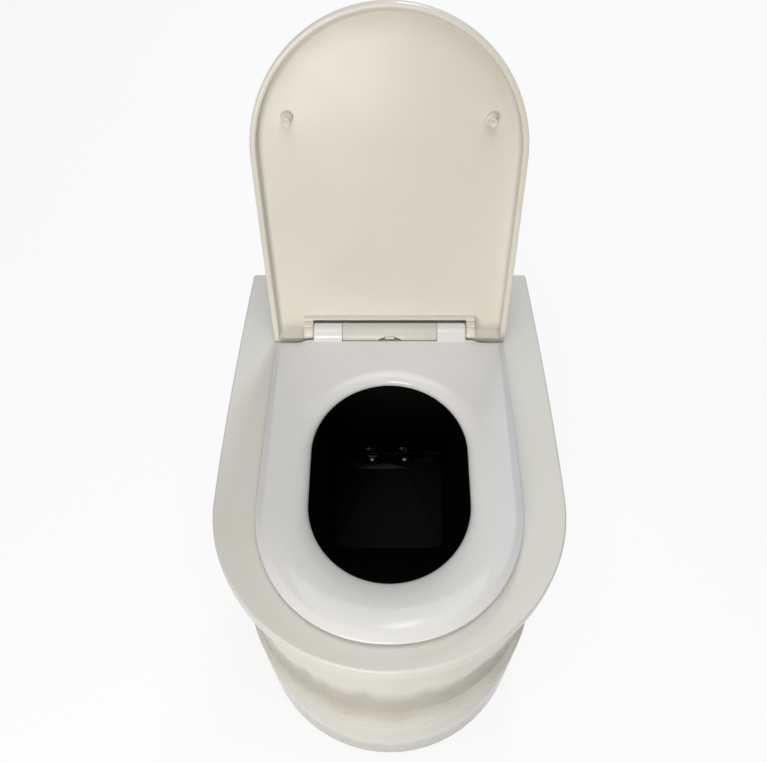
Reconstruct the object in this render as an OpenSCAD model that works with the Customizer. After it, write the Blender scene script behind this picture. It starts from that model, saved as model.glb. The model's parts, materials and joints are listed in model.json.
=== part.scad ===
// Incinerating toilet: a white moulded body on a wider base, a seat and lid
// on one hinge line, a black chute closed by a driven flap, an electric
// burning chamber over an ash pan drawer, and a flue fan at the back.
// +Z is up, the front faces -Y, and the origin is on the floor under the
// middle of the whole outline. Sizes are in millimetres.

/* [Body] */
// Width of the deck at its widest
deck_w = 483; // [450:1:520]
// Width of the deck at its rear edge
deck_rear_w = 446; // [420:1:470]
// Length of the deck from rear edge to front edge
deck_len = 642; // [600:1:690]
// Height of the deck over the floor
deck_h = 535; // [515:1:560]
// Depth of the skirt that hangs from the deck's edge
skirt_h = 32; // [20:1:45]
// Radius of the rounded edge of the deck
deck_edge_r = 3.5; // [2:0.5:6]
// How far the deck stands out past the upper shell
overhang = 15; // [10:1:20]
// Thickness of the moulded walls
wall = 4; // [3:0.5:5]
// Height of the ledge where the base begins
ledge_h = 242; // [215:1:250]
// Thickness of the ledge moulding
ledge_t = 12; // [8:1:20]
// Width of the base at its widest
base_w = 465; // [445:1:475]
// How far the base reaches past the front of the deck
base_out = 4; // [0:1:12]
// Height of the rubber feet
foot_h = 8; // [5:1:14]
// Radius of the rubber feet
foot_r = 20; // [12:1:26]

/* [Seat and lid] */
// Width of the seat
seat_w = 360; // [340:1:370]
// Width of the seat at its rear edge
seat_rear_w = 345; // [325:1:345]
// Length of the seat
seat_len = 458; // [435:1:465]
// Thickness of the seat at its crown
seat_t = 18; // [14:1:19]
// Gap between the seat and the deck
seat_gap = 6; // [5:0.5:8]
// Width of the hole in the seat
hole_w = 220; // [200:1:230]
// Length of the hole in the seat
hole_len = 307; // [280:1:315]
// Length of the straight sides of the hole
hole_straight = 78; // [60:1:90]
// Width of the seat behind the hole
seat_back = 74; // [66:1:85]
// How far the lid reaches past the seat at the sides and the front
lid_over = 0.5; // [0.5:0.5:3]
// Depth of the hollow under the lid
lid_depth = 18; // [16:0.5:18.5]
// Thickness of the lid's panel
lid_panel = 3.5; // [2.5:0.5:3.5]
// Thickness of the rim round the lid
lid_rim = 8; // [5:0.5:10]
// Angle to which the lid opens
lid_open = 105; // [101:1:106]
// Height of the hinge line over the deck
hinge_h = 21; // [20:0.5:22]
// Distance of the hinge line from the deck's rear edge
hinge_in = 138; // [125:1:148]
// Radius of the two hinge pins
hinge_pin_r = 5; // [3.5:0.5:6]
// Radius of the seat's hinge barrels
barrel_r = 15.5; // [15:0.5:16]
// Half width of the fixed hinge cover
cover_half = 71.5; // [66:0.5:78]
// Width of each of the seat's hinge barrels
barrel_w = 43.5; // [38:0.5:48]
// Thickness of each lug of the lid
lug_w = 13.5; // [8:0.5:14]

/* [Chute and flap] */
// Inner width of the chute at its foot
throat_w = 170; // [150:1:180]
// Inner length of the chute at its foot
throat_len = 180; // [160:1:184]
// Height of the flap's upper face
flap_h = 355; // [345:1:365]
// Thickness of the flap
flap_t = 3; // [2:0.5:4]
// Thickness of the chute's sheet
chute_t = 3; // [2:0.5:4]
// Radius of the flap's drive shaft
shaft_r = 5; // [4:0.5:6]
// Length of the flap's leaf hinge
leaf_len = 98; // [80:1:104]
// Distance between the two rivets of each leaf
rivet_pitch = 54; // [44:1:62]

/* [Chamber and ash pan] */
// Inner width of the chamber
chamber_w = 230; // [222:1:240]
// Inner length of the chamber
chamber_len = 224; // [218:1:232]
// Height of the chamber's open foot
chamber_foot = 148; // [140:1:152]
// Thickness of the chamber's steel liner
liner_t = 3; // [2:0.5:4]
// Thickness of the insulation
insulation_t = 25; // [18:1:26]
// Thickness of the outer jacket
jacket_t = 2; // [1:0.5:3]
// Radius of the heater rods
heater_r = 4; // [3:0.5:4.5]
// Height of the ash pan
pan_h = 107; // [90:1:107]
// Thickness of the ash pan's sheet
pan_t = 2.5; // [1.5:0.5:3]
// Place of the drawer's seams, ahead of the origin
seam_y = -62; // [-90:1:-40]

/* [Exhaust] */
// Outer radius of the flue collar
flue_r = 50; // [45:1:52]
// Length of the flue collar behind the deck
flue_out = 60; // [45:1:80]
// Height of the exhaust line over the floor
flue_h = 300; // [290:1:310]
// Radius of the exhaust duct
duct_r = 32; // [24:1:36]
// Blades on the fan's impeller
blades = 7; // [5:1:9]

/* [Hidden] */
$fn = 48;

// Clearances
run_gap = 0.05;
slide_gap = 0.3;
over = 1;
layer_t = 0.2;

// Lines along the length of the object
total_len = deck_len + base_out + flue_out;
front_y = -total_len / 2;
deck_front = front_y + base_out;
deck_rear = deck_front + deck_len;
shell_rear = deck_rear - overhang;
seat_behind = 14;
axis_y = deck_rear - hinge_in;
axis_z = deck_h + hinge_h;
seat_y = axis_y - seat_behind;

// Outlines: half rear width, half width, place of the widest line, length,
// roundness of the front and radius of the rear corners
widest = 411;
deck_size = [deck_rear_w / 2, deck_w / 2, widest, deck_len, 2, 12];
shell_corner = 25;
base_side = (deck_w - base_w) / 2;
base_size = [deck_rear_w / 2 - base_side, base_w / 2, widest - overhang,
    shell_rear - front_y, 2, shell_corner + 6];
seat_size = [seat_rear_w / 2, seat_w / 2, 0.592 * seat_len, seat_len, 2.1, 5];
lid_tail = 18;
lid_w = seat_w + 2 * lid_over;
lid_len = seat_len + seat_behind + lid_tail + lid_over;
lid_size = [lid_w / 2 - 3, lid_w / 2, 0.61 * lid_len, lid_len, 2, 5];

// Heights of the deck's and the base's layers
deck_under = deck_h - wall;
plate_t = 4;
plate_top = foot_h + plate_t;
ledge_under = ledge_h - ledge_t;

// Chute and flap
chute_side = 9;
chute_behind = 19;
chute_top = [100, hole_w / 2 + chute_side, 170, hole_len + 33, 2.3, 40];
chute_back = seat_y - seat_back + chute_behind;
throat_y = chute_back - 31;
throat = [throat_w / 2, throat_w / 2, throat_len - 30, throat_len, 6, 12];
flap_gap = 1;
rim_t = 4;
flap_axis_y = throat_y;
flap_axis_z = flap_h + 3;
flap_w = throat_w + 20;
flap_len = throat_len;
leaf_x = -8.5;
leaf_t = 1.5;
knuckle_r = 3.5;
hinge_wire_r = 2;
rear_cut = flap_axis_z + 9;

// Chamber
liner_rear = flap_axis_y + 17;
liner_front = liner_rear - chamber_len;
liner_top = flap_h + 23;
heater_x = chamber_w / 2 - 9;
heater_low = chamber_foot + 52;
heater_below = 38;
heater_step = (flap_axis_z - heater_below - heater_low) / 3;
jacket_out = liner_t + insulation_t + jacket_t;
jacket_half = chamber_w / 2 + jacket_out;
top_plate = liner_top + jacket_t;
mouth_half = throat_w / 2 + 12;
mouth_rear = flap_axis_y + 11;
mouth_front = throat_y - throat_len - 12;
collar_z = top_plate + 4;

// Ash pan drawer
tray_z = chamber_foot - 4 - pan_h;
tray_t = 3;
pan_half = chamber_w / 2 + 5;
pan_rear = liner_rear + 5;
pan_front = liner_front - 6;
tray_half = pan_half + 5;
stand_in = chamber_w / 2 + 33;
foot_x = stand_in + 2;
stand_t = 3;
rail_rear = pan_rear + 58;
rail_front = liner_front - 3;
runner_z = tray_z - tray_t - 4;
runner_h = 14;

// Rear panel and what it carries
panel_t = 3;
panel_y = shell_rear - wall;
panel_in = panel_y - panel_t;
opening_half = deck_size[0] - overhang - 43;
panel_half = opening_half + 15;
panel_low = plate_top + 4;
panel_high = deck_under - 7;
screw_x = (opening_half + panel_half) / 2;
screw_r = 2;
screw_zs = [panel_low + 40, ledge_h - 45, ledge_h + 60, panel_high - 40];

// Outline of a body that widens from its rear edge to a round front.
// p holds the values that are listed over deck_size.
function taper(s, p) = p[0] + (p[1] - p[0]) * (1 - pow(1 - s / p[2], 1.6));
function corner(s, r) = r - sqrt(max(0, r * r - (r - s) * (r - s)));
function half_outline(p) = concat(
    [for (i = [0:5]) let (s = p[5] * (1 - cos(i * 18)))
        [taper(s, p) - corner(s, p[5]), -s]],
    [for (i = [1:8]) let (s = p[5] + (p[2] - p[5]) * i / 8)
        [taper(s, p), -s]],
    [for (i = [1:16]) let (a = i * 90 / 16)
        [p[1] * pow(cos(a), 2 / p[4]),
         -p[2] - (p[3] - p[2]) * pow(sin(a), 2 / p[4])]]);
function inset_size(p, d) = [p[0] - d, p[1] - d, p[2] - d, p[3] - 2 * d,
    p[4], max(p[5] - d, 2)];

module outline(p, d = 0) {
    half = half_outline(inset_size(p, d));
    last = len(half) - 1;
    translate([0, -d])
        polygon(concat(half, [for (i = [last - 1:-1:0]) [-half[i][0], half[i][1]]]));
}

// A closed solid through one ring of points for each [z, d] of levels
module stacked(p, levels) {
    half = [for (l = levels) half_outline(inset_size(p, l[1]))];
    last = len(half[0]) - 1;
    n = 2 * last + 1;
    rows = len(levels);
    polyhedron(
        [for (k = [0:rows - 1]) let (z = levels[k][0], d = levels[k][1])
            each concat([for (q = half[k]) [q[0], q[1] - d, z]],
                [for (i = [last - 1:-1:0]) [-half[k][i][0], half[k][i][1] - d, z]])],
        concat([[for (i = [n - 1:-1:0]) i]],
            [for (k = [0:rows - 2], i = [0:n - 1]) let (i2 = (i + 1) % n)
                each [[k * n + i, k * n + i2, (k + 1) * n + i2],
                    [k * n + i, (k + 1) * n + i2, (k + 1) * n + i]]],
            [[for (i = [0:n - 1]) (rows - 1) * n + i]]));
}

module box(low, high) {
    translate(low) cube(high - low);
}

module rod_x(r, x0, x1) {
    translate([x0, 0, 0]) rotate([0, 90, 0]) cylinder(r = r, h = x1 - x0);
}

module rod_y(r, y0, y1) {
    translate([0, y1, 0]) rotate([90, 0, 0]) cylinder(r = r, h = y1 - y0);
}

module both_sides() {
    children();
    mirror([1, 0, 0]) children();
}

// The deck: a rounded plate with a skirt and an opening for the chute
module deck_cover() {
    r = deck_edge_r;
    levels = concat([[deck_h - skirt_h, 0], [deck_h - r, 0]],
        [for (a = [22.5:22.5:90])
            [deck_h - r * (1 - sin(a)), r * (1 - cos(a))]]);
    color("#dcdcd8") difference() {
        translate([0, deck_rear, 0]) stacked(deck_size, levels);
        translate([0, deck_rear, deck_h - skirt_h - over])
            linear_extrude(skirt_h - wall + over) outline(deck_size, wall);
        translate([0, chute_back, deck_under - over])
            linear_extrude(wall + 2 * over) outline(chute_top, -chute_t - slide_gap);
        hinge_bolt_places() translate([0, 0, deck_under - over])
            cylinder(r = bolt_r, h = wall + 2 * over);
    }
}

module shell_tube(p, low, high) {
    translate([0, shell_rear, low]) linear_extrude(high - low)
        difference() {
            outline(p);
            outline(p, wall);
        }
}

// Opening in the back of both shells, with holes for the panel's screws
module rear_cuts() {
    box([-opening_half, panel_y - over, panel_low],
        [opening_half, shell_rear + over, panel_high]);
    screw_places() rod_y(screw_r, panel_y - over, shell_rear + over);
}

module screw_places() {
    for (x = [-screw_x, screw_x], z = screw_zs)
        translate([x, 0, z]) children();
}

upper_size = [deck_size[0] - overhang, deck_size[1] - overhang,
    widest - overhang, deck_len - 2 * overhang, 2, shell_corner];

// The upper shell, which stands on the ledge and carries the deck
module upper_shell() {
    color("#dddbca") difference() {
        shell_tube(upper_size, ledge_h, deck_under);
        rear_cuts();
        translate([0, start_y, start_z]) rod_x(start_tube_r, 0, deck_w);
    }
}

// The ledge and the fixed rear part of the base
module base_shell() {
    color("#d8d5c2") difference() {
        union() {
            shell_tube(base_size, ledge_under, ledge_h);
            intersection() {
                translate([0, shell_rear, ledge_under])
                    linear_extrude(ledge_t) outline(base_size);
                ledge_ring();
            }
            intersection() {
                shell_tube(base_size, foot_h, ledge_under);
                box([-deck_w, seam_y, 0], [deck_w, deck_rear, ledge_h]);
            }
        }
        rear_cuts();
    }
}

// The flat of the ledge, from the base's wall in under the upper shell
module ledge_ring() {
    translate([0, shell_rear, ledge_under]) linear_extrude(ledge_t)
        difference() {
            outline(base_size);
            outline(upper_size, wall);
        }
}

module base_plate() {
    color("#8d9091") translate([0, shell_rear, foot_h])
        linear_extrude(plate_t) outline(base_size, wall);
}

foot_front = 90;
foot_rear = 60;

module feet() {
    color("#2b2b2b")
        for (x = [-foot_x, foot_x], y = [seam_y - foot_front, shell_rear - foot_rear])
            translate([x, y, 0]) cylinder(r = foot_r, h = foot_h);
}

module rear_panel() {
    color("#c9c9c4") difference() {
        box([-panel_half, panel_in, panel_low], [panel_half, panel_y, panel_high]);
        screw_places() rod_y(screw_r, panel_in - over, panel_y + over);
        translate([0, 0, flue_h]) rod_y(flue_r - 2, panel_in - over, panel_y + over);
        flue_screw_places() rod_y(screw_r, panel_in - over, panel_y + over);
        box([inlet_x - inlet_w / 2, panel_in - over, inlet_z - inlet_h / 2],
            [inlet_x + inlet_w / 2, panel_y + over, inlet_z + inlet_h / 2]);
        box([inlet_x - switch_w / 2, panel_in - over, switch_z - switch_h / 2],
            [inlet_x + switch_w / 2, panel_y + over, switch_z + switch_h / 2]);
        box([grille_x - grille_w / 2, panel_in - over, grille_z - grille_h / 2],
            [grille_x + grille_w / 2, panel_y + over, grille_z + grille_h / 2]);
    }
}

module screw_solid(head_y, tip_y) {
    rod_y(screw_r, tip_y, head_y);
    rod_y(2 * screw_r, head_y, head_y + 2.4);
}

module panel_screws() {
    color("#9a9c9e") screw_places() screw_solid(shell_rear, panel_in - 5);
    color("#9a9c9e") flue_screw_places()
        screw_solid(panel_y + panel_t, panel_in - 2);
}

// The curved front of the base is the front of the ash drawer
module drawer_front() {
    color("#dbd8c5") intersection() {
        shell_tube(base_size, plate_top + over, ledge_under - over);
        box([-deck_w, front_y - over, 0],
            [deck_w, seam_y - slide_gap, ledge_h]);
    }
}

// The sheet that carries the ash pan behind the drawer's front
module drawer_tray() {
    color("#a5a8aa") intersection() {
        translate([0, shell_rear, tray_z - tray_t])
            linear_extrude(tray_t) outline(base_size, wall);
        box([-tray_half, front_y, 0], [tray_half, pan_rear + 3, ledge_h]);
    }
}

module drawer_runners() {
    color("#b9bcbe") both_sides() difference() {
        box([tray_half, liner_front - 48, runner_z],
            [stand_in - wall - slide_gap, rail_rear - 5, runner_z + runner_h]);
        box([tray_half + 6, liner_front - 49, runner_z + 3],
            [stand_in, rail_rear, runner_z + runner_h - 3]);
    }
}

// Channel rails on the inner faces of the stand
module drawer_rails() {
    low = runner_z - slide_gap;
    high = runner_z + runner_h + slide_gap;
    color("#83878a") both_sides() difference() {
        box([tray_half + 9, rail_front, low - wall],
            [stand_in, rail_rear, high + wall]);
        box([tray_half, rail_front - over, low],
            [stand_in - wall, rail_rear + over, high]);
    }
}

module ash_pan() {
    color("#6f7376") difference() {
        box([-pan_half, pan_front, tray_z], [pan_half, pan_rear, tray_z + pan_h]);
        box([pan_t - pan_half, pan_front + pan_t, tray_z + pan_t],
            [pan_half - pan_t, pan_rear - pan_t, tray_z + pan_h + over]);
    }
}

// A bent rod handle on the front of the ash pan
module pan_handle() {
    z = tray_z + pan_h / 2;
    color("#3a3b3c") {
        for (x = [-40, 40])
            translate([x, 0, z]) rod_y(4, pan_front - 30, pan_front);
        translate([0, pan_front - 30, z]) rod_x(4, -40, 40);
        for (x = [-40, 40])
            translate([x, pan_front - 30, z]) sphere(r = 4);
    }
}

// Lid and seat

// Heights over the hinge line, with the lid and the seat down
seat_under = seat_gap - hinge_h;
crown = seat_under + seat_t;
rim_z = crown - 2;
lid_top = rim_z + lid_depth + lid_panel;
lid_edge_r = 14;
notch_half = cover_half + barrel_w + 1.5;
swing_gap = 1;
lip_t = 3;
lip_h = 8;
lip_y = -barrel_r;
web_y = swing_gap - seat_behind;
lug_r = 10;
lug_top = lug_r + 1;
pin_end = notch_half + lug_w - 1;

// Where the lid's panel ends behind the hinge, so that it opens past the cover
panel_gap = 0.5;
panel_end = min(lid_tail - lid_rim,
    (barrel_r + panel_gap - (rim_z + lid_depth) * sin(lid_open)) / cos(lid_open));

// Everything of the lid is drawn closed about the hinge line, then opened
module opened() {
    translate([0, axis_y, axis_z]) rotate([-lid_open, 0, 0]) children();
}

module lid_block() {
    r = lid_edge_r;
    translate([0, lid_tail, 0])
        stacked(lid_size, concat([[rim_z, 0], [lid_top - r, 0]],
            [for (a = [18:18:90]) [lid_top - r + r * sin(a), r * (1 - cos(a))]],
            [[lid_top + 1.2, 70]]));
}

// The hollow's outline, less a web at each side of the notch from y = front back
module lid_hollow(front) {
    difference() {
        translate([0, lid_tail]) outline(lid_size, lid_rim);
        for (side = [0, 1]) mirror([side, 0]) translate([notch_half, front])
            square([lug_w, lid_tail - front]);
    }
}

// The lid: a shallow tray with a notch for the hinge, webs and a low lip
module lid_shell() {
    color("#dedacb") opened() difference() {
        lid_block();
        translate([0, 0, rim_z - over]) linear_extrude(lid_depth - lip_h + over)
            lid_hollow(web_y);
        translate([0, 0, rim_z]) linear_extrude(lid_depth) difference() {
            lid_hollow(lip_y - lip_t);
            translate([-notch_half, lip_y - lip_t]) square([2 * notch_half, lip_t]);
        }
        box([-notch_half, panel_end, rim_z - over],
            [notch_half, lid_tail + 2 * over, lid_top + 5]);
        both_sides() box([notch_half - over, -lug_r, rim_z - over],
            [notch_half + lug_w, lug_r, lug_top]);
    }
}

// Two hinge lugs, let into the webs of the lid
module lid_lugs() {
    color("#d4d0c1") opened() both_sides() difference() {
        union() {
            rod_x(lug_r, notch_half, notch_half + lug_w);
            box([notch_half, -lug_r, 0], [notch_half + lug_w, lug_r, lug_top]);
        }
        rod_x(hinge_pin_r + run_gap, notch_half - over, notch_half + lug_w + over);
    }
}

buffer_side = 49.5;
buffer_front = 143.5;
buffer_r = 8;
buffer_tip_r = 6;
buffer_step = 8;

// Two soft buffers under the lid that meet the seat
module lid_buffers() {
    tip = crown + slide_gap;
    top = rim_z + lid_depth;
    color("#e4e2d8") opened() both_sides()
        translate([lid_w / 2 - buffer_side, lid_tail - lid_len + buffer_front, 0]) {
            translate([0, 0, tip]) cylinder(r = buffer_tip_r, h = buffer_step);
            translate([0, 0, tip + buffer_step])
                cylinder(r = buffer_r, h = top - tip - buffer_step);
        }
}

seat_z = deck_h + seat_gap;
hole_y = seat_y - seat_back - hole_len / 2;

// Right half of the seat's rear edge, from the middle out. It stands back from
// the hinge cover, and runs level into the barrels.
barrel_x0 = cover_half + 0.5;
barrel_x1 = barrel_x0 + barrel_w;
recess = barrel_r + swing_gap - seat_behind;
recess_half = barrel_x0 + 4;
level_half = barrel_x1 + 8;
level_run = 16;
seat_rear = concat([for (i = [0:3]) [recess_half * i / 3, -recess]],
    [for (i = [0:4]) [recess_half + 1 + (level_half + level_run - recess_half - 1) * i / 4, 0]]);

// Points of the seat's outline
seat_half = half_outline(seat_size);
seat_out = concat(seat_half,
    [for (i = [len(seat_half) - 2:-1:0]) [-seat_half[i][0], seat_half[i][1]]],
    [for (i = [len(seat_rear) - 1:-1:1]) [-seat_rear[i][0], seat_rear[i][1]]],
    seat_rear);

// Points of the hole in the same directions. It has straight sides and
// half ellipses for its ends.
hole_half = hole_w / 2;
hole_side = hole_straight / 2;
hole_end = hole_len / 2 - hole_side;
function end_reach(x, y, m) = (y * hole_side / pow(hole_end, 2)
    + sqrt(pow(y * hole_side / pow(hole_end, 2), 2) + m * (1 - pow(hole_side / hole_end, 2)))) / m;
function hole_reach(u) = let (x = abs(u[0]), y = abs(u[1]))
    y * hole_half <= x * hole_side ? hole_half / x
    : end_reach(x, y, pow(x / hole_half, 2) + pow(y / hole_end, 2));
function hole_point(p) = let (c = [0, hole_y - seat_y], u = (p - c) / norm(p - c))
    c + u * hole_reach(u);

// Across the ring: side it is measured from, distance in from that side,
// height as a share of the seat's thickness, and the same at the hinge
seat_profile = [[0, 3, 0, 0], [0, 0, 0.16, 0.16], [0, 0, 0.4, 0.94], [0, 0.8, 0.48, 0.98],
    [0, 2.4, 0.54, 1], [0, 10, 0.8, 1], [0, 12.5, 0.87, 1], [0, 22, 0.94, 1], [0, 34, 1, 1],
    [1, 26, 1, 1], [1, 17, 0.94, 0.94], [1, 9, 0.8, 0.8], [1, 3, 0.58, 0.58],
    [1, 0, 0.3, 0.3], [1, 2, 0, 0]];

// How level the seat runs out at a point of its outline: 1 at the hinge
function level(p) = p[1] < -recess ? 0
    : min(1, max(0, (level_half + level_run - abs(p[0])) / level_run));
function between(p, q, d) = p + (q - p) * d / norm(q - p);
function seat_ring_point(row, p) = let (h = hole_point(p),
    at = row[0] == 0 ? between(p, h, row[1]) : between(h, p, row[1]))
    [at[0], at[1], (row[2] + (row[3] - row[2]) * level(p)) * seat_t];

module seat_body() {
    n = len(seat_out);
    rows = len(seat_profile);
    polyhedron(
        [for (row = seat_profile, p = seat_out) seat_ring_point(row, p)],
        [for (k = [0:rows - 1], i = [0:n - 1])
            let (k2 = (k + 1) % rows, i2 = (i + 1) % n)
            each [[k * n + i, k2 * n + i2, k2 * n + i],
                [k * n + i, k * n + i2, k2 * n + i2]]]);
}

// The seat: a crowned ring with two hinge barrels at its rear edge
module seat_ring() {
    color("#d6d6d4") difference() {
        union() {
            translate([0, seat_y, seat_z]) seat_body();
            both_sides() seat_barrel();
        }
        both_sides() translate([0, axis_y, axis_z])
            rod_x(hinge_pin_r + run_gap, cover_half, notch_half + over);
    }
}

module profile_x(x0, x1, points) {
    translate([x0, axis_y, axis_z]) rotate([90, 0, 90]) linear_extrude(x1 - x0)
        polygon(points);
}

// A barrel, with a fillet where its top runs down into the seat
blend_r = 9;
blend_y = -sqrt(pow(barrel_r + blend_r, 2) - pow(crown + blend_r, 2));
blend_turn = 90 - asin((crown + blend_r) / (barrel_r + blend_r));

module seat_barrel() {
    translate([0, axis_y, axis_z]) rod_x(barrel_r, barrel_x0, barrel_x1);
    profile_x(barrel_x0, barrel_x1, concat([[0, 2 - barrel_r], [1 - barrel_r, seat_under + 1],
        [blend_y - 6, seat_under + 1], [blend_y - 6, crown - 1]],
        [for (i = [0:5]) let (a = i * blend_turn / 5 - 90)
            [blend_y + blend_r * cos(a), crown + blend_r + blend_r * sin(a)]],
        [[0, 0]]));
}

pad_front = 421;
pad_rear = 153;
pad_r = 8;

// Rubber pads under the seat
module seat_buffers() {
    color("#c9c8c0") both_sides()
        for (p = [[seat_w / 2 - 25, pad_rear], [60, pad_front]])
            translate([p[0], seat_y - p[1], deck_h + slide_gap])
                cylinder(r = pad_r, h = seat_gap - slide_gap);
}

// Fixed middle of the hinge

bolt_r = 4;
bolt_x = 24;
bolt_head_r = 7;
damper_r = 7;
damper_x = 40;
base_half = cover_half - 3;
base_d = 9.5;
base_top = axis_z + 9;
head_z = axis_z + 4.5;
cover_t = 2;
button_half = 7;
button_z = axis_z;
button_h = 7.5;
button_in = 2;
press = 3;

module hinge_bolt_places() {
    for (x = [-bolt_x, bolt_x]) translate([x, axis_y, 0]) children();
}

// The block that is bolted to the deck and carries pins and dampers
module hinge_base() {
    color("#c8c6ba") difference() {
        box([-base_half, axis_y - base_d, deck_h], [base_half, axis_y + base_d, base_top]);
        both_sides() translate([0, axis_y, axis_z])
            rod_x(damper_r, damper_x, base_half + over);
        hinge_bolt_places() {
            translate([0, 0, deck_h - over]) cylinder(r = bolt_r, h = hinge_h + 10);
            translate([0, 0, head_z]) cylinder(r = bolt_head_r + slide_gap, h = 10);
        }
        box([-button_half - slide_gap, axis_y - base_d - over, button_z - slide_gap],
            [button_half + slide_gap, axis_y - 1, button_z + button_h + slide_gap]);
    }
}

// A bar with upright sides and a round top about the hinge line
module arched(half, r, low) {
    translate([0, axis_y, axis_z]) rod_x(r, -half, half);
    box([-half, axis_y - r, low], [half, axis_y + r, axis_z]);
}

// Moulded cover over the hinge base, with a thumb notch at the front
module hinge_cover() {
    color("#cdccbe") difference() {
        arched(cover_half, barrel_r, deck_h + slide_gap);
        arched(cover_half - cover_t, barrel_r - cover_t, deck_h - over);
        both_sides() translate([0, axis_y, axis_z])
            rod_x(hinge_pin_r + slide_gap, cover_half - 5, cover_half + over);
        translate([0, axis_y - base_d - slide_gap, axis_z]) rotate([90, 0, 0])
            linear_extrude(barrel_r) polygon([[-17.5, -2], [17.5, -2], [17.5, crown],
                [7.6, button_h + 1], [-7.6, button_h + 1], [-17.5, crown]]);
    }
}

// Button in the thumb notch that frees the seat and lid from the hinge base
module release_button() {
    color("#bcbbae") box([-button_half, axis_y - barrel_r + button_in, button_z],
        [button_half, axis_y - 2 - press, button_z + button_h]);
}

// Two steel pins that carry the seat's barrels and the lid's lugs
module hinge_pins() {
    color("#b4b7ba") both_sides() translate([0, axis_y, axis_z])
        rod_x(hinge_pin_r, damper_x + 4, pin_end);
}

// Soft closing dampers, one round each pin
module dampers() {
    color("#5b5d60") both_sides() translate([0, axis_y, axis_z]) difference() {
        rod_x(damper_r, damper_x, base_half);
        rod_x(hinge_pin_r, damper_x + 4, base_half + over);
    }
}

module hinge_bolts() {
    color("#a9acae") hinge_bolt_places() {
        translate([0, 0, deck_under - 22])
            cylinder(r = bolt_r, h = head_z - deck_under + 22);
        translate([0, 0, head_z]) cylinder(r = bolt_head_r, h = base_top - head_z);
    }
}

// Plastic nuts under the deck
module hinge_nuts() {
    color("#d0cfc6") hinge_bolt_places() difference() {
        translate([0, 0, deck_under - 12]) cylinder(r = 10, h = 12);
        translate([0, 0, deck_under - 13]) cylinder(r = bolt_r, h = 14);
    }
}

// Chute, flap and their hinge

// A tapering solid from the chute's straight foot up to the deck's opening
module funnel(d, high) {
    hull() {
        translate([0, chute_back, high]) linear_extrude(layer_t) outline(chute_top, d);
        translate([0, throat_y, collar_z]) linear_extrude(layer_t) outline(throat, d);
    }
}

module foot_block(d, low, high) {
    translate([0, throat_y, low]) linear_extrude(high - low) outline(throat, d);
}

module bowl() {
    foot = flap_h + flap_gap;
    color("#161616") difference() {
        union() {
            funnel(-chute_t, deck_h);
            foot_block(-chute_t, foot, collar_z + 1);
            foot_block(-20, collar_z, collar_z + 3);
            translate([0, chute_back, deck_h])
                linear_extrude(2) outline(chute_top, -12);
        }
        translate([0, chute_back, deck_h - layer_t])
            linear_extrude(5) outline(chute_top);
        funnel(0, deck_h);
        foot_block(0, foot - over, collar_z + 0.1);
        box([-chamber_w / 2, throat_y - 12, foot - 2 * over],
            [chamber_w / 2, throat_y + 20, rear_cut]);
        on_back_wall() wall_rivet_places() rod_y(rivet_r, -over, 10);
    }
}

module bowl_gasket() {
    color("#3d3d3d") translate([0, 0, top_plate]) linear_extrude(collar_z - top_plate)
        difference() {
            translate([0, throat_y]) outline(throat, -20);
            translate([0, throat_y]) outline(throat, -12);
        }
}

knuckle_w = leaf_len / 5;
leaf_up = 28;
rivet_up = 17;
rivet_in = 10.5;
rivet_r = 2;
boss_r = 7.5;
lug_x0 = leaf_x + leaf_len / 2 + 17;
lug_x1 = throat_w / 2 + 3;
shaft_end = jacket_half + 20;
bush_r = 9;
plate_gap = 7;

module at_flap_axis() {
    translate([0, flap_axis_y, flap_axis_z]) children();
}

// The inner face of the chute's back wall stands over the flap's hinge line
module on_back_wall() {
    at_flap_axis() children();
}

// Knuckles of a leaf hinge, every second one from the given first
module knuckles(first) {
    for (i = [first:2:4])
        rod_x(knuckle_r, leaf_x - leaf_len / 2 + i * knuckle_w + slide_gap / 2,
            leaf_x - leaf_len / 2 + (i + 1) * knuckle_w - slide_gap / 2);
}

module wall_rivet_places() {
    for (x = [-0.5, 0.5])
        translate([leaf_x + x * rivet_pitch, 0, rivet_up]) children();
}

module flap_rivet_places() {
    for (x = [-0.5, 0.5])
        translate([leaf_x + 6 + x * rivet_pitch, -rivet_in, 0]) children();
}

// Leaf that is riveted to the chute's back wall
module fixed_leaf() {
    x0 = leaf_x - leaf_len / 2;
    color("#5d6164") on_back_wall() difference() {
        union() {
            box([x0, -leaf_t, knuckle_r + 0.6], [x0 + leaf_len, 0, leaf_up]);
            knuckles(0);
            for (i = [0:2:4])
                box([x0 + i * knuckle_w + slide_gap / 2, -leaf_t, 0],
                    [x0 + (i + 1) * knuckle_w - slide_gap / 2, 0, 5]);
        }
        rod_x(hinge_wire_r, x0 - over, x0 + leaf_len + over);
        wall_rivet_places() rod_y(rivet_r, -10, 10);
    }
}

// Leaf that is riveted to the top of the flap
module moving_leaf() {
    x0 = leaf_x - leaf_len / 2;
    under = flap_h - flap_axis_z;
    color("#5d6164") at_flap_axis() difference() {
        union() {
            box([x0, -leaf_up, under], [x0 + leaf_len, -knuckle_r - 0.6, under + leaf_t]);
            knuckles(1);
            for (i = [1:2:3])
                box([x0 + i * knuckle_w + slide_gap / 2, -5, under],
                    [x0 + (i + 1) * knuckle_w - slide_gap / 2, 0, under + leaf_t]);
        }
        rod_x(hinge_wire_r + run_gap, x0 - over, x0 + leaf_len + over);
        flap_rivet_places() translate([0, 0, -20]) cylinder(r = rivet_r, h = 40);
    }
}

module flap_pin() {
    color("#8f9396") at_flap_axis()
        rod_x(hinge_wire_r, leaf_x - leaf_len / 2, leaf_x + leaf_len / 2);
}

module rivet(length) {
    translate([0, 0, -length]) cylinder(r = rivet_r, h = length);
    cylinder(r1 = 2.25 * rivet_r, r2 = 1.5 * rivet_r, h = 1.6);
}

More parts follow.
